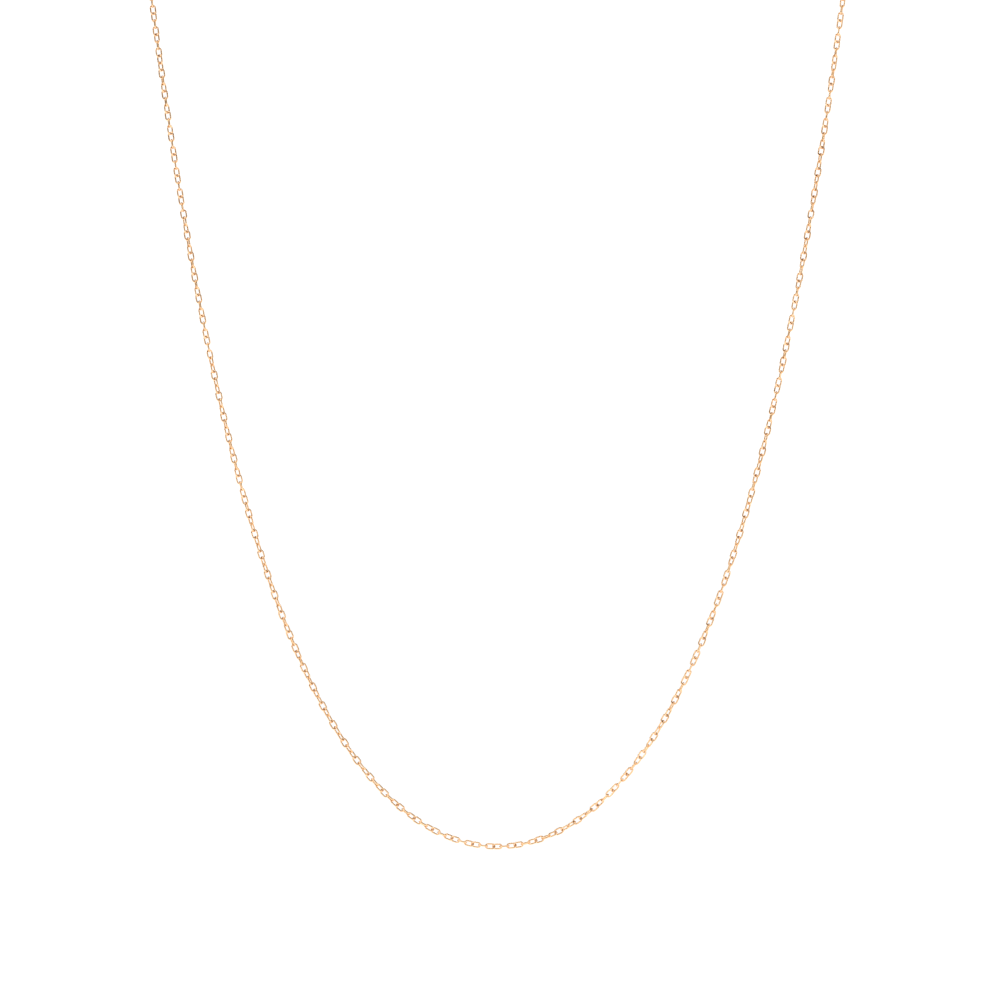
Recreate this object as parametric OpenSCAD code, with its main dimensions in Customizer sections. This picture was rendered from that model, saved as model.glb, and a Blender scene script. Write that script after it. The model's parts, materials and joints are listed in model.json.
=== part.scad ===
// Fine trace-chain necklace with a bolt-ring clasp, hanging over two pegs.
// The front drop hangs in a catenary in the XZ plane. The origin is the middle of its lowest link.
// +X is to the right, +Z is up, and -Y is the side that faces the onlooker. Millimetres.

/* [Chain] */
// Distance from the centre of one link to the centre of the next
link_pitch = 1.125; // [0.9:0.005:1.5]
// Width of a link, outside to outside
link_w = 1.08; // [0.95:0.01:1.4]
// Diameter of the wire that the links are made of
wire_d = 0.25; // [0.18:0.01:0.28]
// Play between two links along the chain, beyond what their turn takes up
link_play = 0.024; // [0.02:0.002:0.08]
// Turn from one link to the next on the left half, in degrees, before it is rounded to close the chain
left_turn = 61.1; // [56:0.1:70]
// Turn from one link to the next on the right half, in degrees, before it is rounded
right_turn = 56.5; // [56:0.1:70]

/* [Drop] */
// Links in each piece of the front chain
piece_links = 7; // [4:1:8]
// Radius of the curve at the lowest point of the drop
drop_curve = 20; // [16:0.5:30]
// Links at each peg: the first and the last hang straight, and those between them lie over the peg
peg_links = 8; // [8:1:10]
// Links between those at the peg and the clasp
back_links = 42; // [41:1:60]

/* [Clasp] */
// Radius of the clasp ring, to the middle of its tube
ring_r = 2.05; // [1.9:0.05:3]
// Outer diameter of the clasp's tube
tube_d = 0.9; // [0.8:0.05:1.2]
// Wall of the clasp's tube
tube_wall = 0.13; // [0.1:0.01:0.2]
// Gap between the tube's bore and the bolt that slides in it, on each side
bolt_gap = 0.04; // [0.02:0.005:0.06]
// Diameter of the thumb knob's stem
knob_d = 0.36; // [0.3:0.02:0.5]
// Height of the thumb knob above the tube
knob_h = 0.55; // [0.4:0.05:0.9]
// Wire of the eyelet and of the jump ring beside it
eyelet_wire = 0.4; // [0.3:0.05:0.5]
// Radius of the eyelet, to the middle of its wire
eyelet_r = 0.68; // [0.65:0.01:0.9]
// Radius of the jump ring, to the middle of its wire
jump_r = 0.9; // [0.85:0.05:1.4]
// Wire of the end ring that the clasp hooks into
end_wire = 0.5; // [0.4:0.05:0.6]
// Radius of the end ring, to the middle of its wire
end_r = 1.45; // [1.3:0.05:2]

/* [Hidden] */
PIECES = 21;
BACK_PIECES = 3;

rose_gold = [0.93, 0.67, 0.5];
steel = [0.75, 0.75, 0.77];
round_fn = 48;
ring_fn = 96;
radian = 180 / PI;

// Counts of links, from the centre link outwards on each side
front_links = PIECES * piece_links;
side_links = front_links + peg_links + back_links;
// The chain is made to bend above these links, at the top of every third piece
hinge_links = [for (n = [6 : 3 : PIECES - 1]) n * piece_links];
// The centre link stands at this turn, and the last link of each side lies flat beside the clasp
centre_turn = 120;
flat_turn = 90;

// Two links bend most freely at a quarter turn, so that is the turn at every hinge and all over the pegs.
// This counts the quarter turns between the centre link and link number i.
function quarters(i) =
    len([for (h = hinge_links) if (i > h) h]) + min(max(i - front_links, 0), peg_links + 1);
side_quarters = quarters(side_links);
// Turn between the other links, rounded so that the last link beside the clasp lies flat
function closing_turn(turn, lead) =
    let (fixed = 90 * side_quarters + lead, others = side_links - side_quarters)
    (180 * round((turn * others + fixed) / 180) - fixed) / others;
step_right = closing_turn(right_turn, centre_turn - flat_turn);
step_left = closing_turn(left_turn, flat_turn - centre_turn);

// Link: two half rings joined by straight legs, each holding the next link in its crown.
bend_r = (link_w - wire_d) / 2;
// How far the middle lines of two links overlap. At less than a quarter turn the crowns meet on their
// flanks before their tips do, so the overlap grows as the turn, or the link's width, gets smaller.
function overlap(turn) =
    let (k = 2 - 2 * cos(turn))
    2 * bend_r - sqrt((4 - k) * (bend_r * bend_r - wire_d * wire_d / k));
link_l = link_pitch + overlap(min(step_left, step_right)) + link_play + wire_d;
leg_l = link_l - link_w;
tip = (link_l - wire_d) / 2;

// Clasp, in its own frame: ring centre at the origin, chain along X
seat = wire_d / 2 + link_play;
bore_d = tube_d - 2 * tube_wall;
bolt_d = bore_d - 2 * bolt_gap;
open_from = 20;
open_to = 75;
tip_in = 8;
bolt_to = 125;
bore_to = 215;
bolt_travel = open_to - open_from + tip_in - 1;
knob_at = 93;
slot_w = knob_d + 2 * bolt_gap;
slot_margin = 7;
// The eyelet is let this far into the tube, and the joint is cut over this angle to each side
joint_depth = 0.1;
joint_span = 30;
eyelet_x = -(ring_r + tube_d / 2 + eyelet_r + eyelet_wire / 2 - joint_depth);
jump_x = eyelet_x - eyelet_r + eyelet_wire + link_play - jump_r;
left_link_x = jump_x - jump_r + eyelet_wire / 2 + seat - tip;
end_x = ring_r - tube_d / 2 - end_wire / 2 - link_play + end_r;
right_link_x = end_x + end_r - end_wire / 2 - seat + tip;
// Half the straight stretch that the clasp takes up between the two last links
clasp_half = (right_link_x - left_link_x) / 2;
ring_x = -(right_link_x + left_link_x) / 2;

// Shape of the hanging chain. All lengths run along the chain from the centre link.
function cosh(x) = (exp(x) + exp(-x)) / 2;
function sinh(x) = (exp(x) - exp(-x)) / 2;
function asinh(x) = ln(x + sqrt(x * x + 1));

front_l = (front_links + 1.5) * link_pitch;
peg_l = (peg_links - 2) * link_pitch;
back_l = (back_links + 0.5) * link_pitch;
front_slope = atan(front_l / drop_curve);
front_x = drop_curve * asinh(front_l / drop_curve);
front_z = sqrt(drop_curve * drop_curve + front_l * front_l) - drop_curve;

// Radius of the chain's middle line over a peg, for a back chain that leaves it at a slope of b degrees
function peg_r(b) = link_pitch / 2 / tan((180 + b - front_slope) / (peg_links - 2) / 2);
// Where the chain leaves the peg towards the clasp
function back_x(b) = front_x - peg_r(b) * (sin(front_slope) + sin(b));
function back_z(b) = front_z + peg_r(b) * (cos(front_slope) + cos(b));
// Length that is over when the back chain is laid from the peg to the clasp's end
function excess(b) = back_l * asinh(tan(b)) / tan(b) - (back_x(b) - clasp_half);
// The slope at which the back chain just reaches the clasp, found by halving
function slope_in(low, high, n) =
    n == 0 ? (low + high) / 2 :
    excess((low + high) / 2) > 0 ? slope_in((low + high) / 2, high, n - 1) :
    slope_in(low, (low + high) / 2, n - 1);
back_slope = slope_in(0.5, 80, 40);
arc_r = peg_r(back_slope);
arc_x = front_x - arc_r * sin(front_slope);
arc_z = front_z + arc_r * cos(front_slope);
back_curve = back_l / tan(back_slope);
back_low = back_z(back_slope) - back_curve * (cosh(asinh(tan(back_slope))) - 1);

// Place on the right half: [x, z, slope in degrees] at length s along the chain
function front_at(s) = [
    drop_curve * asinh(s / drop_curve),
    sqrt(drop_curve * drop_curve + s * s) - drop_curve,
    atan(s / drop_curve)
];
function peg_at(s) =
    let (slope = front_slope + (180 + back_slope - front_slope) * (s - front_l) / peg_l)
    [arc_x + arc_r * sin(slope), arc_z - arc_r * cos(slope), slope];
function back_at(s) =
    let (rest = front_l + peg_l + back_l - s)
    [
        clasp_half + back_curve * asinh(rest / back_curve),
        back_low + sqrt(back_curve * back_curve + rest * rest) - back_curve,
        180 + atan(rest / back_curve)
    ];
function chain_at(s) =
    s <= front_l ? front_at(s) : s <= front_l + peg_l ? peg_at(s) : back_at(s);

function piece_name(side, n) = str(side, "_chain_", n < 10 ? "0" : "", n);
function back_name(side, n) = str(side, "_back_chain_", n);
// First and last link of a back piece, counted from the peg
function back_first(n) = 1 + floor((n - 1) * back_links / BACK_PIECES);
function back_last(n) = floor(n * back_links / BACK_PIECES);

// A part of a round bar bent to a ring in the XZ plane, from one angle to another
module bent_bar(r, d, from, to) {
    rotate([90, 0, 0])
        rotate([0, 0, from])
            rotate_extrude(angle = to - from, $fn = ring_fn)
                translate([r, 0])
                    circle(d = d, $fn = round_fn);
}

module wire_ring(r, d) {
    rotate_extrude($fn = ring_fn)
        translate([r, 0])
            circle(d = d, $fn = round_fn);
}

// One link, flat in the XZ plane with its length along X
module link() {
    for (side = [-1, 1]) {
        translate([side * leg_l / 2, 0, 0])
            bent_bar(bend_r, wire_d, -90 * side, 90 * side + (side < 0 ? 360 : 0));
        translate([-leg_l / 2, 0, side * bend_r])
            rotate([0, 90, 0])
                cylinder(d = wire_d, h = leg_l, $fn = round_fn);
    }
}

// Link number i to the right of the centre link, or to the left where i is below 0
module placed_link(i) {
    at = chain_at(abs(i) * link_pitch);
    side = i < 0 ? -1 : 1;
    step = i < 0 ? step_left : step_right;
    turn = 90 * quarters(abs(i)) + step * (abs(i) - quarters(abs(i)));
    translate([side * at[0], 0, at[1]])
        rotate([0, -side * at[2], 0])
            rotate([centre_turn - flat_turn + side * turn, 0, 0])
                link();
}

module links(side, first, last) {
    color(rose_gold)
        for (i = [first : last])
            placed_link((side == "left" ? -1 : 1) * i);
}

// Piece 1 hangs from the peg and piece 21 reaches the centre link
module chain_piece(side, n) {
    links(side, (PIECES - n) * piece_links + 1, (PIECES - n + 1) * piece_links);
}

module peg_piece(side) {
    links(side, front_links + 1, front_links + peg_links);
}

module back_piece(side, n) {
    start = front_links + peg_links;
    links(side, start + back_first(n), start + back_last(n));
}

module centre_link() {
    color(rose_gold)
        placed_link(0);
}

// Moves a clasp piece from the clasp's own frame to its place behind the drop
module on_back() {
    translate([ring_x, 0, back_low])
        children();
}

// Hollow ring with the hooking gap at its upper right, a bore for the bolt and a slot for its knob
module clasp_tube() {
    slot_from = knob_at - slot_margin;
    slot_to = knob_at + bolt_travel + slot_margin;
    color(rose_gold)
        on_back()
            difference() {
                bent_bar(ring_r, tube_d, open_to, open_from + 360);
                bent_bar(ring_r, bore_d, open_to - 1, bore_to);
                bent_bar(ring_r, bore_d, open_from + 360 - tip_in - 2, open_from + 361);
                rotate([90, 0, 0])
                    rotate([0, 0, slot_from])
                        rotate_extrude(angle = slot_to - slot_from, $fn = ring_fn)
                            translate([ring_r, -slot_w / 2])
                                square([tube_d, slot_w]);
            }
}

// Curved bolt that closes the gap. Its tip rests in the tube's far end.
module clasp_bolt() {
    color(rose_gold)
        on_back()
            bent_bar(ring_r, bolt_d, open_from - tip_in, bolt_to);
}

// Stem through the slot with a round pad for the thumbnail
module clasp_thumb_knob() {
    pad_d = knob_d * 1.5;
    top = ring_r + tube_d / 2 + knob_h;
    color(rose_gold)
        on_back()
            difference() {
                rotate([0, -knob_at, 0])
                    rotate([0, 90, 0])
                        union() {
                            translate([0, 0, ring_r])
                                cylinder(d = knob_d, h = top - ring_r - pad_d / 2, $fn = round_fn);
                            translate([0, 0, top - pad_d / 2])
                                sphere(d = pad_d, $fn = round_fn);
                        }
                bent_bar(ring_r, bolt_d, open_from - tip_in, bolt_to);
            }
}

// Push spring between the bolt's tail and the end of the bore, coiled along the ring
module clasp_spring() {
    spring_wire = 0.09;
    coil_r = (bore_d - spring_wire) / 2 - bolt_gap;
    turns = 9;
    steps = 12;
    sides = 6;
    from = bolt_to + 2;
    to = bore_to - 2;
    rings = turns * steps;
    function coil_point(k) =
        let (a = from + (to - from) * k / rings, t = 360 * k / steps, r = ring_r + coil_r * cos(t))
        [r * cos(a), -coil_r * sin(t), r * sin(a)];
    function coil_ring(k) =
        let (
            ahead = coil_point(k + 0.1) - coil_point(k - 0.1),
            along = ahead / norm(ahead),
            centre = [ring_r * cos(from + (to - from) * k / rings), 0,
                ring_r * sin(from + (to - from) * k / rings)],
            outward = coil_point(k) - centre,
            up = outward / norm(outward),
            across = cross(along, up)
        )
        [for (j = [0 : sides - 1]) coil_point(k)
            + spring_wire / 2 * (cos(360 * j / sides) * up + sin(360 * j / sides) * across)];
    points = [for (k = [0 : rings]) each coil_ring(k)];
    skin = [for (k = [0 : rings - 1], j = [0 : sides - 1])
        [k * sides + j, k * sides + (j + 1) % sides,
            (k + 1) * sides + (j + 1) % sides, (k + 1) * sides + j]];
    ends = [
        [for (j = [sides - 1 : -1 : 0]) j],
        [for (j = [0 : sides - 1]) rings * sides + j]
    ];
    color(steel)
        on_back()
            polyhedron(points = points, faces = concat(skin, ends), convexity = 10);
}

// Wire ring soldered to the outside of the tube, opposite the gap
module clasp_eyelet() {
    color(rose_gold)
        on_back()
            difference() {
                translate([eyelet_x, 0, 0])
                    rotate([90, 0, 0])
                        wire_ring(eyelet_r, eyelet_wire);
                bent_bar(ring_r, tube_d, 180 - joint_span, 180 + joint_span);
            }
}

// Ring that joins the left chain to the eyelet
module clasp_jump_ring() {
    color(rose_gold)
        on_back()
            translate([jump_x, 0, 0])
                wire_ring(jump_r, eyelet_wire);
}

// Ring at the end of the right chain, hooked by the clasp
module end_ring() {
    color(rose_gold)
        on_back()
            translate([end_x, 0, 0])
                wire_ring(end_r, end_wire);
}

for (side = ["left", "right"]) {
    for (n = [1 : PIECES])
        chain_piece(side, n);
    for (n = [1 : BACK_PIECES])
        back_piece(side, n);
    peg_piece(side);
}
centre_link();
clasp_tube();
clasp_bolt();
clasp_thumb_knob();
clasp_spring();
clasp_eyelet();
clasp_jump_ring();
end_ring();
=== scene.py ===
# %% [markdown]
# # A fine rose-gold trace chain
# The necklace is nearly four hundred oval links of round wire, closed at the back by a bolt-ring clasp.
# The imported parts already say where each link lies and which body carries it, so this lesson never
# guesses a place. It reads each plain link, and lays a finished one of the same size over it.

import json
import math

import bmesh
import bpy
import numpy as np
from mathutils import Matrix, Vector


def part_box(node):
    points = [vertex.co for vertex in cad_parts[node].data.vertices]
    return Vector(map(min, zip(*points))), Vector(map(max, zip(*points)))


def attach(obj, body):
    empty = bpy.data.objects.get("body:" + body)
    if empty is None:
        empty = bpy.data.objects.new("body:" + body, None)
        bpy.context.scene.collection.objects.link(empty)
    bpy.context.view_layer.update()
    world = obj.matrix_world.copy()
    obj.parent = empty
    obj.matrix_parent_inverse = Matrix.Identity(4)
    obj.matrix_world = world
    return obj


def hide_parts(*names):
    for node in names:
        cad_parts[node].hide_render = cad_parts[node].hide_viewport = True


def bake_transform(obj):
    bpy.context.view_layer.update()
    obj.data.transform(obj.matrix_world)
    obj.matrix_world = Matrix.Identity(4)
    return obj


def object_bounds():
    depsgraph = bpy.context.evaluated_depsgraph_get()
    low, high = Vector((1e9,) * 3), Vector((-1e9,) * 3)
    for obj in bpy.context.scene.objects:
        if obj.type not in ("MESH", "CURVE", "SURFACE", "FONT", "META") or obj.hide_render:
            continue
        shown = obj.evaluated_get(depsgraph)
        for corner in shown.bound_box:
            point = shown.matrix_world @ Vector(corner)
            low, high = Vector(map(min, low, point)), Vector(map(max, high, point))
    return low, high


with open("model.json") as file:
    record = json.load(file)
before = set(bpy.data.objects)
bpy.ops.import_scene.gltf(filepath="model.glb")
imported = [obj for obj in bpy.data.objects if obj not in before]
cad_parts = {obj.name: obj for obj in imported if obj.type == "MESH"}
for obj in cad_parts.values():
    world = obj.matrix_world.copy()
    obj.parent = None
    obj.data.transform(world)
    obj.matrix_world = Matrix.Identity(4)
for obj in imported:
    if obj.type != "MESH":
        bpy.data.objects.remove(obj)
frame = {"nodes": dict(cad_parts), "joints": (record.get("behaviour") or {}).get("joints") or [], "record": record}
cad_low, cad_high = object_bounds()
record = frame["record"]
body_of = {node: body for body, nodes in record["behaviour"]["bodies"].items() for node in nodes}
slot_of = {part["node"]: part["material_slot"] for part in record["subparts"]}
joint_of = {joint["name"]: joint for joint in frame["joints"]}
MM = 0.001
print(len(frame["nodes"]), "packed parts,", [round(side / MM, 1) for side in cad_high - cad_low], "mm")

# %% [markdown]
# ## Sums that write themselves as nodes
# A finish is a graph of small nodes. Wiring them by hand hides the idea, so one class wraps a socket, and
# arithmetic on it adds the Math nodes. A second class holds a material and makes every other node.


# %% Shader maths as plain expressions
class Field:
    """A value or colour that varies over a surface."""

    def __init__(self, finish, socket):
        self.finish = finish
        self.socket = socket

    def math(self, operation, *values):
        return self.finish.node("ShaderNodeMath", {"operation": operation}, dict(enumerate(values)))

    def __add__(self, other):
        return self.math("ADD", self, other)

    def __sub__(self, other):
        return self.math("SUBTRACT", self, other)

    def __rsub__(self, other):
        return self.math("SUBTRACT", other, self)

    def __mul__(self, other):
        return self.math("MULTIPLY", self, other)

    __radd__ = __add__
    __rmul__ = __mul__

    def between(self, low, high):
        """0 below low, 1 above high, with a soft step between."""
        inputs = {"Value": self, "From Min": low, "From Max": high}
        return self.finish.node("ShaderNodeMapRange", {"interpolation_type": "SMOOTHSTEP"}, inputs)


class Finish:
    """A material, and the one place that its nodes are made."""

    def __init__(self, name):
        self.material = bpy.data.materials.new(name)
        self.material.use_nodes = True
        self.tree = self.material.node_tree
        self.shader = self.tree.nodes["Principled BSDF"]

    def node(self, kind, settings=None, inputs=None, output=0):
        made = self.tree.nodes.new(kind)
        for name, value in (settings or {}).items():
            setattr(made, name, value)
        for name, value in (inputs or {}).items():
            self.feed(made.inputs[name], value)
        return Field(self, made.outputs[output])

    def feed(self, socket, value):
        if isinstance(value, Field):
            self.tree.links.new(value.socket, socket)
        else:
            socket.default_value = value

    def set(self, **sockets):
        for name, value in sockets.items():
            self.feed(self.shader.inputs[name.replace("_", " ").title()], value)

    def attribute(self, name, output):
        return self.node("ShaderNodeAttribute", {"attribute_name": name}, output=output)

    def noise(self, at, scale, detail=2.0, roughness=0.5):
        inputs = {"Vector": at, "Scale": scale, "Detail": detail, "Roughness": roughness}
        return self.node("ShaderNodeTexNoise", {"noise_dimensions": "3D"}, inputs, "Fac")

    def mix(self, amount, first, second):
        """first where amount is 0, second where it is 1, as colours."""
        made = self.node("ShaderNodeMix", {"data_type": "RGBA"}, output=2)
        inputs = made.socket.node.inputs
        for socket, value in zip((inputs[0], inputs[6], inputs[7]), (amount, first, second)):
            self.feed(socket, value)
        return made

    def stretch(self, vector, factors):
        return self.node("ShaderNodeVectorMath", {"operation": "MULTIPLY"}, {0: vector, 1: factors})

    def bump(self, height, distance, strength=1.0):
        inputs = {"Height": height, "Distance": distance, "Strength": strength}
        return self.node("ShaderNodeBump", None, inputs)


print("shader helpers ready")

# %% [markdown]
# ## Rose gold
# Rose gold is gold with a good share of copper. Fresh metal is pale peach. In the crook of each link, where
# its neighbour rubs and no polishing mop reaches, a thin brown film stays, and there the links also shade each
# other: the crooks are painted a darker brown, film and painted shade in one. Pale peach patches are painted in
# as highlights. The wire was pulled through a draw plate, which leaves fine lines along it, and wear polishes the
# outer crowns. A flat colour would show none of that, so the colour, gloss and bump follow three facts stored on
# the mesh: the place along and round the wire, how deep in a crook a point lies, and a tone that differs a little
# from link to link.


# %% Rose-gold finish
def rose_gold(name, lines, film_and_shade):
    """lines is how strong the drawing lines are; the second number is how dark and brown the crooks are painted, a
    film and painted shade together.
    """
    gold = Finish(name)
    wire = gold.attribute("wire", "Vector")
    crook = gold.attribute("crook", "Fac")
    tone = gold.attribute("tone", "Fac")
    drawn = gold.noise(gold.stretch(wire, (1.2e3, 2.4e4, 2.4e4)), 1.0, 3.0)
    cloud = gold.noise(wire, 2600.0, 2.0)
    pits = gold.noise(wire, 2.6e4, 2.0)
    colour = gold.mix(tone, (0.96, 0.635, 0.36, 1), (0.93, 0.575, 0.305, 1))
    # Paler patches, a painted highlight scattered by noise
    colour = gold.mix(cloud.between(0.45, 0.8) * 0.35, colour, (0.97, 0.7, 0.46, 1))
    # Painted shade in the crooks, brown like a film, where the links shade each other
    edge = (crook + (cloud - 0.5) * 0.5).between(0.25, 0.95)
    colour = gold.mix(edge * film_and_shade, colour, (0.42, 0.165, 0.05, 1))
    polish = 0.12 + drawn.between(0.35, 0.7) * 0.17 * lines + edge * 0.24 + pits.between(0.6, 0.8) * 0.1
    relief = drawn * (0.6 * lines) + pits * 0.4
    gold.set(base_color=colour, metallic=1.0, roughness=polish, normal=gold.bump(relief, 2.2e-6, 0.8))
    return gold.material


finish_of = {
    "chain": rose_gold("rose gold drawn wire", 1.0, 0.75),
    "clasp": rose_gold("rose gold polished clasp", 0.35, 0.5),
    "ring": rose_gold("rose gold ring wire", 0.8, 0.6),
}
print("made", [made.name for made in finish_of.values()])

# %% [markdown]
# ## Spring steel
# The push spring inside the clasp is hard-drawn steel wire. It is greyer and duller than the gold, with
# drawing lines along the coil and a few straw-brown stains from the heat that set it.


# %% Spring-steel finish
def spring_steel(name):
    steel = Finish(name)
    wire = steel.attribute("wire", "Vector")
    drawn = steel.noise(steel.stretch(wire, (2.0e3, 4.0e4, 4.0e4)), 1.0, 3.0)
    stain = steel.noise(wire, 1800.0, 3.0).between(0.5, 0.75)
    colour = steel.mix(stain * 0.4, (0.62, 0.61, 0.6, 1), (0.5, 0.38, 0.24, 1))
    steel.set(base_color=colour, metallic=1.0, roughness=0.24 + drawn * 0.2)
    steel.set(normal=steel.bump(drawn, 1.0e-6, 0.6))
    return steel.material


finish_of["spring"] = spring_steel("drawn spring steel")
print("made", finish_of["spring"].name)

# %% [markdown]
# ## Wire, swept along a line
# Links, rings, the bolt and the spring are all round bar bent along a line. One sweep serves for all of them:
# it lays a ring of points round each point of the line and joins ring to ring. Blender's curves can bevel a
# line too, but a sweep in numbers can thin the wire, flatten it, and say where on the wire each point is.


# %% Sweep a round bar along a line
def unit(vectors):
    return vectors / np.linalg.norm(vectors, axis=-1, keepdims=True)


def joined(count, sides, closed, first=0):
    """The four-sided faces between count rings of points."""
    here = np.arange(count if closed else count - 1)[:, None]
    side = np.arange(sides)[None, :]
    ahead, across = (here + 1) % count, (side + 1) % sides
    corners = (here * sides + side, here * sides + across, ahead * sides + across, ahead * sides + side)
    return np.stack(corners, -1).reshape(-1, 4) + first


def sweep(line, outward, radius, sides=14, closed=False):
    """Points, faces and wire places of a bar. radius holds one number for each point, or each ring point."""
    ahead = np.roll(line, -1, 0) - np.roll(line, 1, 0)
    if not closed:
        ahead = np.gradient(line, axis=0)
    across = unit(np.cross(outward, unit(ahead)))
    turn = np.linspace(0, 2 * math.pi, sides, endpoint=False)
    if np.ndim(radius) == 1:
        radius = radius[:, None]
    radius = np.broadcast_to(radius, (len(line), sides))
    ring = np.cos(turn)[None, :, None] * outward[:, None] + np.sin(turn)[None, :, None] * across[:, None]
    points = line[:, None] + radius[..., None] * ring
    steps = np.linalg.norm(np.diff(line, axis=0), axis=1)
    along = np.concatenate([[0], np.cumsum(steps)])
    if closed:
        along = along[-1] / 2 - np.abs(along - along[-1] / 2)
    wire = np.stack(
        [
            np.broadcast_to(along[:, None], radius.shape),
            radius * np.cos(turn),
            radius * np.sin(turn),
        ],
        -1,
    )
    faces = joined(len(line), sides, closed).tolist()
    if not closed:
        last = (len(line) - 1) * sides
        faces += [list(range(sides))[::-1], list(range(last, last + sides))]
    return points.reshape(-1, 3), faces, wire.reshape(-1, 3)


print("sweep ready")

# %% [markdown]
# ## From points to a piece
# Every finished piece replaces one imported part, rides on that part's body and takes that part's slot. The
# clasp's spring is the exception: it rides on no body, and its points stay where they are made. One function
# does all of it.


# %% Make a piece that stands for a imported part
def piece(node, points, faces, wire, crook, tone, suffix="wire", between=None):
    """between is (body, other body, start, end) for a piece that rides on no body; only whether it is given is
    read.
    """
    mesh = bpy.data.meshes.new(f"{node}_{suffix}")
    mesh.from_pydata(np.asarray(points).tolist(), [], faces)
    mesh.attributes.new("wire", "FLOAT_VECTOR", "POINT").data.foreach_set("vector", np.ravel(wire))
    for name, values in (("crook", crook), ("tone", tone)):
        values = np.broadcast_to(values, len(points)).astype(np.float32)
        mesh.attributes.new(name, "FLOAT", "POINT").data.foreach_set("value", values)
    mesh.shade_smooth()
    mesh.materials.append(finish_of[slot_of[node]])
    made = bpy.data.objects.new(mesh.name, mesh)
    bpy.context.scene.collection.objects.link(made)
    if between:
        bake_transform(made)
    else:
        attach(made, body_of[node])
    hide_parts(node)
    return made


print("pieces are made from points, faces and three facts about the wire")

# %% [markdown]
# ## Finding the links
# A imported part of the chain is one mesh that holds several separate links. Points joined by an edge belong to
# one link, so spreading the lowest number across the edges, over and over, gives each link its own number.
# The link's spread in space then gives its three axes: the longest is its length and the shortest its wire.


# %% Read each plain link's centre and axes
def islands(node):
    """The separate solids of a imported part, each as an array of its points and their weights."""
    mesh = frame["nodes"][node].data
    points = np.empty(len(mesh.vertices) * 3)
    mesh.vertices.foreach_get("co", points)
    points = points.reshape(-1, 3)
    edges = np.empty(len(mesh.edges) * 2, int)
    mesh.edges.foreach_get("vertices", edges)
    _, welded = np.unique(np.round(points / 1e-7).astype(np.int64), axis=0, return_inverse=True)
    welded = welded.reshape(-1)
    a, b = welded[edges.reshape(-1, 2)].T
    label = np.arange(welded.max() + 1)
    while True:
        low = np.minimum(label[a], label[b])
        new = label.copy()
        np.minimum.at(new, a, low)
        np.minimum.at(new, b, low)
        new = new[new]
        if (new == label).all():
            break
        label = new
    return [points[label[welded] == number] for number in np.unique(label)]


def box_centre(points, axes):
    """The middle of the points' box, measured along the axes."""
    along = points @ axes.T
    return (along.min(0) + along.max(0)) / 2 @ axes, along.max(0) - along.min(0)


def link_place(points):
    """(centre, axes as rows, size along each) of one link."""
    spread = points - points.mean(0)
    axes = np.linalg.eigh(spread.T @ spread)[1].T[::-1].copy()
    for row in (0, 2):
        main = np.abs(axes[row]).argmax()
        axes[row] *= np.sign(axes[row][main])
    axes[1] = np.cross(axes[2], axes[0])
    centre, size = box_centre(points, axes)
    return centre, axes, size


centre_place = link_place(islands("centre_link")[0])
link_length, link_width, wire_d = centre_place[2]
print("a link is", [round(size / MM, 3) for size in centre_place[2]], "mm")

# %% [markdown]
# ## One link, drawn once
# A link starts as a turn of wire cut from a coil, closed on its neighbour and soldered on one leg. So the
# master link is a stadium of round wire with a low bead of solder in the middle of one leg and crowns that
# are worn a few microns flat on the inside. The links are all alike but for their tone, so the master is
# drawn once at the size just read, and copied to every place.

# %% Draw the master link
CROWN_STEPS = 22
LEG_STEPS = 8
LINK_SIDES = 14
bend_r = (link_width - wire_d) / 2
half_leg = (link_length - link_width) / 2


def link_line():
    """The middle line, starting at the solder on the upper leg. Returns points, outward and crown angle."""
    crown = np.linspace(math.pi / 2, -math.pi / 2, CROWN_STEPS)
    leg = np.linspace(0, half_leg, LEG_STEPS // 2, endpoint=False)
    right = np.stack([half_leg + bend_r * np.cos(crown), 0 * crown, bend_r * np.sin(crown)], 1)
    out_right = np.stack([np.cos(crown), 0 * crown, np.sin(crown)], 1)
    upper = np.stack([leg, 0 * leg, 0 * leg + bend_r], 1)
    lower = np.stack([leg[:0:-1], 0 * leg[1:], 0 * leg[1:] - bend_r], 1)
    up = np.array([[0, 0, 1.0]])
    half = np.vstack([upper, right, lower])
    outward = np.vstack([np.repeat(up, len(upper), 0), out_right, np.repeat(-up, len(lower), 0)])
    angle = np.concatenate([0 * leg + math.pi / 2, np.abs(crown), 0 * leg[1:] + math.pi / 2])
    bottom = np.array([[0, 0, -bend_r]])
    line = np.vstack([half, bottom, half[:0:-1] * [-1, 1, 1]])
    outward = np.vstack([outward, -up, outward[:0:-1] * [-1, 1, 1]])
    angle = np.concatenate([angle, [math.pi / 2], angle[:0:-1]])
    return line, outward, angle


line, outward, crown_angle = link_line()
turn = np.linspace(0, 2 * math.pi, LINK_SIDES, endpoint=False)
inner = np.clip(-np.cos(turn), 0, 1)[None, :]
in_crown = np.clip(1 - (crown_angle / 1.15) ** 2, 0, 1)[:, None]
SOLDER_RISE = 0.035
SOLDER_SPREAD = 0.55
solder = np.exp(-((line[:, 0] / (wire_d * SOLDER_SPREAD)) ** 2)) * (line[:, 2] > 0)
WORN_FLAT = 0.03
link_radius = wire_d / 2 * (1 + SOLDER_RISE * solder[:, None] - WORN_FLAT * in_crown * inner**4)
master_points, master_faces, master_wire = sweep(line, outward, link_radius, LINK_SIDES, closed=True)
# The inner side of each crown, where the next link lies, is marked for painted shade and film
master_crook = (in_crown * np.clip(0.35 - np.cos(turn), 0, 1)[None, :]).reshape(-1)
print("the master link has", len(master_faces), "faces")

# %% [markdown]
# ## The whole chain
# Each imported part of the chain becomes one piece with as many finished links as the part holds. A real chain
# is soldered by machine from one spool, so its links differ only slightly: a seeded generator gives each its
# tone and turns some of the solder beads to the other leg.

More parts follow.
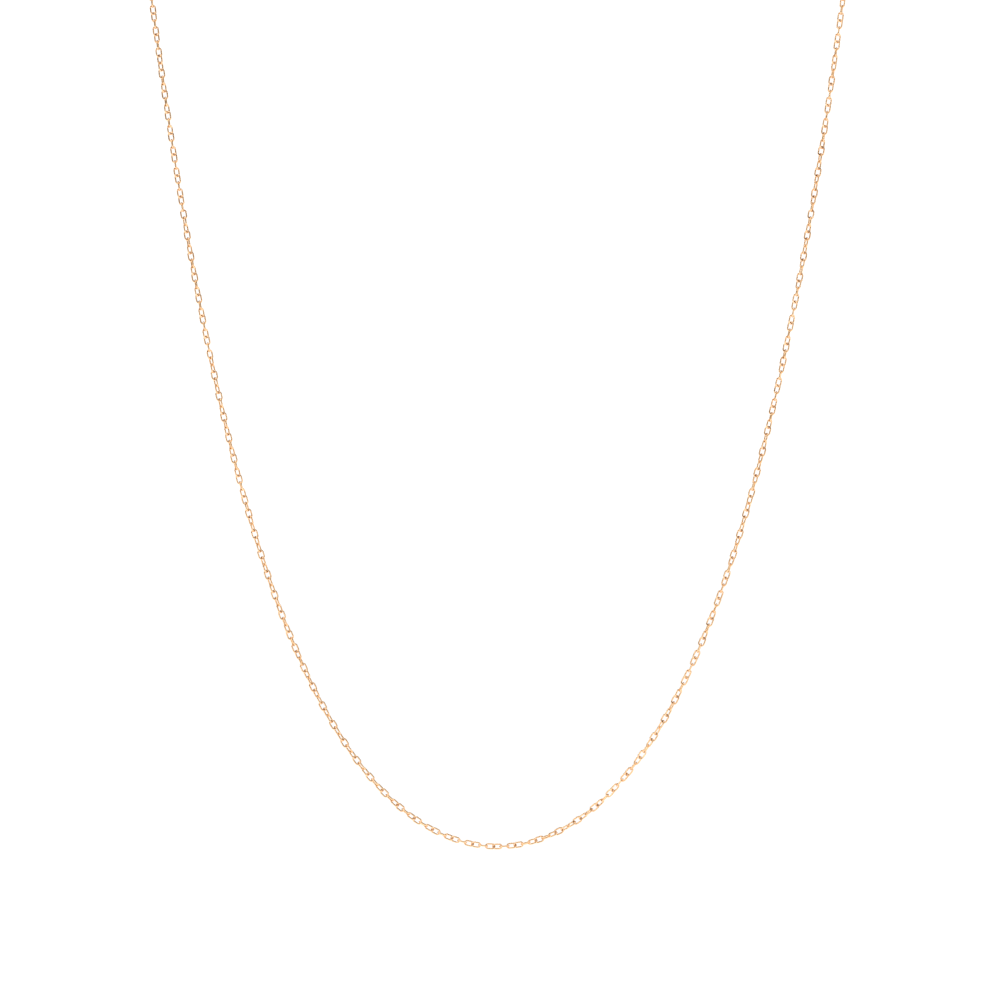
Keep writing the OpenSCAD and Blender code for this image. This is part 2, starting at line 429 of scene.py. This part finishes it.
# %% Lay the links
spool = np.random.default_rng(7)
chain_nodes = sorted(node for node, slot in slot_of.items() if slot == "chain")
link_faces = np.array(master_faces)
links_laid = 0
for node in chain_nodes:
    laid = []
    for number, points in enumerate(islands(node)):
        centre, axes, size = link_place(points)
        if spool.random() < 0.5:
            axes = axes * [[1], [-1], [-1]]
        local = master_points * (size / (link_length, link_width, wire_d))[[0, 2, 1]]
        placed = centre + local @ axes[[0, 2, 1]]
        offset = np.array([spool.random(), 0, 0])
        tone = np.full(len(placed), spool.random())
        laid.append((placed, link_faces + number * len(placed), master_wire + offset, tone))
    places, faces, wires, tones = zip(*laid)
    crooks = np.tile(master_crook, len(laid))
    corners = np.vstack(faces).tolist()
    piece(node, np.vstack(places), corners, np.vstack(wires), crooks, np.hstack(tones), "links")
    links_laid += len(laid)
print(links_laid, "links in", len(chain_nodes), "pieces")

# %% [markdown]
# ## The clasp's rings
# The eyelet, the jump ring and the end ring are closed rings of thicker wire. The eyelet stands on the clasp
# and the other two lie flat. A jump ring is closed but not soldered, so a fine cut shows in it. The end ring
# is soldered, with a bead as on the links.


# %% Make the three rings
RING_STEPS = 96
RING_SIDES = 20


def ring_piece(node, normal, gap_at, cut=0.0, bead=0.0):
    """normal is the axis the ring turns about, cut its seam's depth and bead its solder's rise."""
    low, high = (np.array(corner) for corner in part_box(node))
    flat = [axis for axis in range(3) if axis != normal]
    thickness = (high - low)[normal]
    # The eyelet is let into the tube on one side, so its width is taken up the other way, where it is whole
    across = (high - low)[flat].max()
    centre = (low + high) / 2
    if node == "clasp_eyelet":
        centre[0] = low[0] + across / 2
    radius = (across - thickness) / 2
    angle = np.linspace(0, 2 * math.pi, RING_STEPS, endpoint=False)
    outward = np.zeros((RING_STEPS, 3))
    outward[:, flat[0]] = np.cos(angle)
    outward[:, flat[1]] = np.sin(angle)
    away = np.abs((angle - gap_at + math.pi) % (2 * math.pi) - math.pi) * radius / thickness
    seam = 1 - cut * np.exp(-((away / 0.09) ** 2)) + bead * np.exp(-((away / 0.5) ** 2))
    line = centre + outward * radius
    points, faces, wire = sweep(line, outward, thickness / 2 * seam, RING_SIDES, closed=True)
    # The cut and the inside of the ring are marked for painted shade and film
    film_and_shade = np.exp(-((away / 0.16) ** 2)) * (cut > 0)
    inside = np.clip(-np.cos(np.linspace(0, 2 * math.pi, RING_SIDES, endpoint=False)), 0, 1) ** 2
    crook = np.clip(film_and_shade[:, None] * 1.2 + 0.35 * inside[None, :], 0, 1).reshape(-1)
    return piece(node, points, faces, wire, crook, 0.5)


ring_piece("clasp_eyelet", 1, math.pi, bead=0.02)
ring_piece("clasp_jump_ring", 2, 1.9, cut=0.16)
ring_piece("end_ring", 2, -1.2, bead=0.03)
print("three rings made")

# %% [markdown]
# ## The clasp
# The clasp is a hollow ring with a gap. A curved bolt slides in it and closes the gap, and a knob on the bolt
# stands out through a slot for the thumbnail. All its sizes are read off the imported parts: the ring's middle
# is the axis that the bolt turns about, and the angles are those at which each part's points begin and end.

# %% Measure the clasp
ring_centre = np.array(joint_of["bolt_slide"]["pos_m"])


def node_points(node):
    mesh = frame["nodes"][node].data
    points = np.empty(len(mesh.vertices) * 3)
    mesh.vertices.foreach_get("co", points)
    return points.reshape(-1, 3)


def angles_of(node):
    """First and last angle of a part round the clasp ring, from the widest empty stretch onwards."""
    away = node_points(node) - ring_centre
    angle = np.sort(np.degrees(np.arctan2(away[:, 2], away[:, 0])) % 360)
    empty = np.diff(np.append(angle, angle[0] + 360))
    widest = empty.argmax()
    first = angle[(widest + 1) % len(angle)]
    return first, first + 360 - empty[widest]


tube_low, tube_high = (np.array(corner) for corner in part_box("clasp_tube"))
bolt_low, bolt_high = (np.array(corner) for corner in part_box("clasp_bolt"))
tube_d = (tube_high - tube_low)[1]
bolt_d = (bolt_high - bolt_low)[1]
ring_r = ring_centre[2] - tube_low[2] - tube_d / 2
tube_from, tube_to = angles_of("clasp_tube")
bolt_from, bolt_to = angles_of("clasp_bolt")
knob_at = sum(angles_of("clasp_thumb_knob")) / 2
bolt_travel = joint_of["bolt_slide"]["range_deg"][1]
print("ring of", round(ring_r / MM, 3), "mm, tube from", round(tube_from), "to", round(tube_to))
print("bolt from", round(bolt_from), "to", round(bolt_to))

# %% [markdown]
# ## The hollow ring
# The tube is drawn as two skins, the outside and the bore, each a grid that runs along the ring and round the
# section. Leaving faces out of both makes the slot, and walls between the skins close it. A Boolean would cut
# the same slot, but a grid keeps every edge where the bevel can round it evenly, as tumbling does.


# %% Measure the bore and the slot
def around(points):
    """Angle in degrees, distance out from the ring's middle line, and y, of points near the clasp ring."""
    away = points - ring_centre
    angle = np.degrees(np.arctan2(away[:, 2], away[:, 0]))
    return angle, np.hypot(away[:, 0], away[:, 2]) - ring_r, away[:, 1]


angle, out, side = around(node_points("clasp_tube"))
angle = (angle - tube_from) % 360 + tube_from
section = np.hypot(out, side)
bore_r = section.min()
# The long bore holds the bolt and the spring, and the short one beyond this angle takes the bolt's tip
BETWEEN_BORES = 300
in_bore = angle[section < bore_r * 1.05]
bore_to = in_bore[in_bore < BETWEEN_BORES].max()
tip_bore_from = in_bore[in_bore > BETWEEN_BORES].min()
beside_knob = (angle > knob_at + 3) & (angle < knob_at + bolt_travel - 3) & (out > 0)
slot_half = np.abs(side[beside_knob]).min()
# The crown of the tube is missing only where the slot is open, so its last point before the knob and
# its first point after the knob's travel are the slot's two ends
crest = (out > 0) & (np.abs(side) < slot_half * 0.98)
slot_from = angle[crest & (angle < knob_at)].max()
slot_to = angle[crest & (angle > knob_at + bolt_travel)].min()
print("bore of", round(bore_r * 2 / MM, 3), "mm up to", round(bore_to))
print("slot from", round(slot_from, 1), "to", round(slot_to, 1))


# %% Draw the hollow ring
def on_ring(angles, spread, radius):
    """Points at each angle along the ring and each angle round the section of that radius."""
    along = np.radians(angles)[:, None]
    reach = ring_r + radius * np.cos(spread)[None, :]
    across = np.broadcast_to(radius * np.sin(spread)[None, :], (len(angles), len(spread)))
    points = np.stack([reach * np.cos(along), across, reach * np.sin(along)], -1)
    return (points + ring_centre).reshape(-1, 3)


COVER = 5
ROUND = 30
stops = [tube_from, slot_from, slot_to, bore_to, tip_bore_from, tube_to]
STEP_DEGREES = 3
spans = [np.linspace(a, b, max(3, int((b - a) / STEP_DEGREES))) for a, b in zip(stops, stops[1:])]
angles = np.unique(np.concatenate(spans))


def section_spread(radius):
    """Angles round a section whose first COVER steps lie over the slot."""
    edge = math.asin(slot_half / radius)
    over = np.linspace(-edge, edge, COVER + 1)
    rest = np.linspace(edge, 2 * math.pi - edge, ROUND + 1)
    return np.concatenate([over, rest[1:-1]])


outer = on_ring(angles, section_spread(tube_d / 2), tube_d / 2)
inner_skin = on_ring(angles, section_spread(bore_r), bore_r)
sides = COVER + ROUND


def is_slot(step, side_step):
    middle = (angles[step] + angles[step + 1]) / 2
    return slot_from < middle < slot_to and side_step < COVER


def is_bored(step):
    middle = (angles[step] + angles[step + 1]) / 2
    return middle < bore_to or middle > tip_bore_from


def at(step, side_step, skin):
    return skin * len(outer) + step * sides + side_step % sides


faces = []
for step in range(len(angles) - 1):
    for k in range(sides):
        if is_slot(step, k):
            continue
        for skin in (0, 1) if is_bored(step) else (0,):
            near = [at(step, k, skin), at(step, k + 1, skin)]
            far = [at(step + 1, k + 1, skin), at(step + 1, k, skin)]
            faces.append(near + far)
    if is_slot(step, 0):
        for k in (0, COVER):
            faces.append([at(step, k, 0), at(step + 1, k, 0), at(step + 1, k, 1), at(step, k, 1)])
index_of = {round(float(value), 6): number for number, value in enumerate(angles)}
for stop, columns in ((tube_from, sides), (tube_to, sides), (slot_from, COVER), (slot_to, COVER)):
    step = index_of[round(float(stop), 6)]
    for k in range(columns):
        faces.append([at(step, k, 0), at(step, k + 1, 0), at(step, k + 1, 1), at(step, k, 1)])
for stop in (bore_to, tip_bore_from):
    step = index_of[round(float(stop), 6)]
    faces.append([at(step, k, 1) for k in range(sides)])

points = np.vstack([outer, inner_skin])
angle, out, side = around(points)
along = np.radians((angle - tube_from) % 360) * ring_r
mouth = np.minimum(along, np.radians(tube_to - tube_from) * ring_r - along) / tube_d
near_slot = np.clip(1 - np.hypot(side, np.maximum(0, -out)) / (2.2 * slot_half), 0, 1)
near_slot *= (angle % 360 > slot_from - 4) & (angle % 360 < slot_to + 4)
# The open ends, the slot's rim and the whole bore are marked for painted shade and film
crook = np.clip(0.55 * np.exp(-((mouth / 0.18) ** 2)) + 0.8 * near_slot, 0, 1)
crook[len(outer) :] = 0.8
tube = piece("clasp_tube", points, faces, np.stack([along, out, side], -1), crook, 0.4, "shell")


def clean_up(made, bevel):
    """Drops unused points, turns every face outwards, and rounds the sharp edges."""
    work = bmesh.new()
    work.from_mesh(made.data)
    bmesh.ops.delete(work, geom=[v for v in work.verts if not v.link_faces], context="VERTS")
    bmesh.ops.recalc_face_normals(work, faces=work.faces)
    work.to_mesh(made.data)
    work.free()
    rounding = made.modifiers.new("tumbled edges", "BEVEL")
    rounding.width, rounding.segments = bevel, 3
    rounding.limit_method, rounding.angle_limit = "ANGLE", math.radians(50)


EDGE_ROUND = 0.022 * MM
clean_up(tube, EDGE_ROUND)
print("the hollow ring has", len(faces), "faces")

# %% [markdown]
# ## Bolt, knob and spring
# The bolt is a curved rod with rounded ends, so that it finds the far bore by itself. The knob is turned: a
# stem with a small flare where it is soldered to the bolt, and a ball cut with fine ridges for grip. The
# spring is a coil of steel wire round the ring's middle line, with its end turns wound close together. It
# could ride on the tube, but then the bolt would slide through it; here it rides on neither body and stays
# where it is made.


# %% Bend the bolt
def ring_frame(angles):
    """Points on the ring's middle line, and their outward directions."""
    along = np.radians(angles)
    outward = np.stack([np.cos(along), 0 * along, np.sin(along)], 1)
    return ring_centre + ring_r * outward, outward


def domed(count, reach, steps=8):
    """Places from 0 to 1 along a bar and the thickness at each, with both ends rounded off over reach."""
    curve = np.linspace(0, math.pi / 2, steps)
    start, thick = reach * (1 - np.cos(curve)), np.clip(np.sin(curve), 0.06, 1)
    middle = np.linspace(reach, 1 - reach, count)[1:-1]
    places = np.concatenate([start, middle, 1 - start[::-1]])
    return places, np.concatenate([thick, 0 * middle + 1, thick[::-1]])


BOLT_SIDES = 28
bolt_reach = math.degrees(bolt_d / 2 / ring_r) / (bolt_to - bolt_from)
place, thick = domed(40, bolt_reach * 0.8)
line, outward = ring_frame(bolt_from + (bolt_to - bolt_from) * place)
points, faces, wire = sweep(line, outward, bolt_d / 2 * thick, BOLT_SIDES)
# The rounded ends are marked for painted shade and film, where they sit in the bore
crook = np.repeat(np.clip(1.3 - thick, 0, 0.5), BOLT_SIDES)
piece("clasp_bolt", points, faces, wire, crook, 0.6, "rod")
print("bolt of", round(bolt_d / MM, 2), "mm")

# %% Turn the knob
KNOB_SIDES = 84
RIDGES = 14
RIDGE_DEPTH = 0.035
knob_dir = np.array([math.cos(math.radians(knob_at)), 0, math.sin(math.radians(knob_at))])
away = node_points("clasp_thumb_knob") - ring_centre
height = away @ knob_dir
beside = np.linalg.norm(away - height[:, None] * knob_dir, axis=1)
knob_top, ball_r = height.max(), beside.max()
stem_r = beside[height < ring_r + tube_d / 2].max()
base = ring_r + bolt_d / 2 * 0.9
ball_mid = knob_top - ball_r
tilt = math.asin(stem_r / ball_r)
ball = np.linspace(math.pi - tilt, 0.05, 20)
profile = [(base, stem_r * 1.12), (base + stem_r * 0.2, stem_r * 1.06), (base + stem_r * 0.45, stem_r)]
profile += [(ball_mid - ball_r * 1.25, stem_r), (ball_mid - ball_r * 1.15, stem_r * 1.12)]
profile += [(ball_mid + ball_r * math.cos(a), ball_r * math.sin(a)) for a in ball]
rise, thick = np.array(profile).T
line = ring_centre + rise[:, None] * knob_dir
outward = np.tile([[-knob_dir[2], 0, knob_dir[0]]], (len(line), 1))
turn = np.linspace(0, 2 * math.pi, KNOB_SIDES, endpoint=False)
on_ball = np.clip((thick - stem_r * 1.15) / (ball_r - stem_r * 1.15), 0, 1)[:, None]
groove = 0.5 + 0.5 * np.cos(RIDGES * turn)[None, :]
radius = thick[:, None] * (1 - RIDGE_DEPTH * on_ball * groove)
points, faces, wire = sweep(line, outward, radius, KNOB_SIDES)
# The grooves of the ball and the foot of the stem on the bolt are marked for painted shade and film
crook = (0.6 * on_ball * groove**3 + np.clip(1.2 - (rise - base) / stem_r, 0, 0.8)[:, None]).reshape(-1)
piece("clasp_thumb_knob", points, faces, wire, np.clip(crook, 0, 1), 0.3, "knob")
print("knob stands", round((knob_top - ring_r - tube_d / 2) / MM, 2), "mm above the tube")

# %% Wind the spring
SPRING_TURNS = 9
STEPS_A_TURN = 26
SPRING_SIDES = 10
spring_from, spring_to = angles_of("clasp_spring")
angle, out, side = around(node_points("clasp_spring"))
section = np.hypot(out, side)
coil_r, spring_wire = (section.max() + section.min()) / 2, section.max() - section.min()
share = np.linspace(0, 1, SPRING_TURNS * STEPS_A_TURN + 1)
CLOSE_ENDS = 0.035
paced = share - CLOSE_ENDS * np.sin(2 * math.pi * share)
middle, out_dir = ring_frame(spring_from + (spring_to - spring_from) * paced)
wind = 2 * math.pi * SPRING_TURNS * share[:, None]
outward = np.cos(wind) * out_dir - np.sin(wind) * np.array([[0, 1.0, 0]])
points, faces, wire = sweep(middle + coil_r * outward, outward, spring_wire / 2, SPRING_SIDES)
# The spring's end at the tube and its end at the bolt's tail are gathered with the two bodies, but the piece only
# keeps its place and rides on neither
(bolt_side, tube_side), _ = ring_frame(np.array([spring_from, spring_to]))
between = (body_of["clasp_tube"], body_of["clasp_bolt"], tuple(tube_side), tuple(bolt_side))
piece("clasp_spring", points, faces, wire, 0.0, 0.5, "coil", between)
print("spring from", round(spring_from, 1), "to", round(spring_to, 1), "bolt's tail at", round(bolt_to, 1))
print("spring of", round(spring_wire / MM, 3), "mm wire")

# %% [markdown]
# ## Floor, light and camera
# Bright metal shows what stands round it. The room is a pale one: a matt floor, an even white surround, two
# soft boxes and a top light. In a wholly white room the wire would look like paint, because polished metal
# only shows its surroundings. So two large grey cards, one behind the camera and one behind the necklace, are
# seen by nothing but the metal. They darken its faces and edges, and the soft boxes stand out on them.


# %% Lay the floor
def matt_white(name):
    paper = Finish(name)
    grain = paper.noise(paper.node("ShaderNodeTexCoord", output="Object"), 60.0, 3.0)
    colour = paper.mix(grain * 0.3, (0.94, 0.94, 0.94, 1), (0.9, 0.9, 0.9, 1))
    paper.set(base_color=colour, roughness=0.9 + grain * 0.08, normal=paper.bump(grain, 2e-5, 0.3))
    return paper.material


height = cad_high.z - cad_low.z
FLOOR_DROP = 0.35
floor_mesh = bpy.data.meshes.new("floor")
reach = 60 * height
corners = [(-reach, -reach, 0), (reach, -reach, 0), (reach, reach, 0), (-reach, reach, 0)]
floor_mesh.from_pydata(corners, [], [(0, 1, 2, 3)])
floor_mesh.materials.append(matt_white("matt white floor"))
floor = bpy.data.objects.new("floor", floor_mesh)
floor.location.z = cad_low.z - FLOOR_DROP * height
bpy.context.scene.collection.objects.link(floor)
print("floor at", round(floor.location.z / MM, 1), "mm")


# %% Hang the soft boxes and the cards
def aim(made, target):
    made.rotation_euler = (Vector(target) - made.location).to_track_quat("-Z", "Y").to_euler()


def soft_box(name, place, size, power, target=(0, 0, 0.06)):
    lamp = bpy.data.lights.new(name, "AREA")
    lamp.shape, lamp.size, lamp.energy = "SQUARE", size, power
    made = bpy.data.objects.new(name, lamp)
    made.location = place
    bpy.context.scene.collection.objects.link(made)
    aim(made, target)
    made.visible_camera = False
    return made


def grey_card(name, place, half_width, half_height, grey):
    mesh = bpy.data.meshes.new(name)
    corners = [(-half_width, -half_height, 0), (half_width, -half_height, 0)]
    corners += [(half_width, half_height, 0), (-half_width, half_height, 0)]
    mesh.from_pydata(corners, [], [(0, 1, 2, 3)])
    card = Finish(name)
    grain = card.noise(card.node("ShaderNodeTexCoord", output="Object"), 30.0)
    card.set(base_color=card.mix(grain, (grey, grey, grey, 1), (grey * 1.2,) * 3 + (1,)), roughness=0.9)
    mesh.materials.append(card.material)
    made = bpy.data.objects.new(name, mesh)
    made.location = place
    bpy.context.scene.collection.objects.link(made)
    aim(made, (0, 0, 0.06))
    made.visible_camera = made.visible_diffuse = made.visible_shadow = False


soft_box("key light", (-0.55, -0.6, 0.5), 0.45, 2.0)
soft_box("fill light", (0.7, -0.45, 0.15), 0.4, 0.8)
soft_box("top light", (0.0, 0.15, 0.8), 0.5, 1.2)
grey_card("card behind the camera", (0, -1.1, 0.1), 2.4, 2.0, 0.04)
grey_card("card behind the necklace", (0, 1.1, 0.1), 2.4, 2.0, 0.12)
SURROUND_STRENGTH = 1.12
surround = bpy.data.worlds.new("white surround")
surround.use_nodes = True
surround.node_tree.nodes["Background"].inputs["Color"].default_value = (1, 1, 1, 1)
surround.node_tree.nodes["Background"].inputs["Strength"].default_value = SURROUND_STRENGTH
bpy.context.scene.world = surround
bpy.context.scene.view_settings.view_transform = "Standard"
print("three soft boxes, two cards and a white surround")

# %% [markdown]
# The camera stands square to the necklace with a long lens, so the drop keeps its true shape. It sees the
# front of the necklace from just above its lowest link up to a little below the pegs, where both strands
# leave the top of the view.

# %% Set up the camera
FRAME_SIDE = 157.9 * MM
FRAME_BELOW = 24.3 * MM
ASIDE = 0.0027
LENS = 200.0
camera_data = bpy.data.cameras.new("camera")
camera_data.lens = LENS
camera_data.clip_start, camera_data.clip_end = 0.01, 100
camera = bpy.data.objects.new("camera", camera_data)
distance = FRAME_SIDE * LENS / camera_data.sensor_width
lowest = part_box("centre_link")[0].z
middle_height = lowest + link_width / 2 - FRAME_BELOW + FRAME_SIDE / 2
camera.location = (ASIDE * FRAME_SIDE, -distance, middle_height)
camera.rotation_euler = (math.pi / 2, 0, 0)
bpy.context.scene.collection.objects.link(camera)
bpy.context.scene.camera = camera
print("camera", round(distance, 3), "m away,", round(middle_height / MM, 1), "mm up")
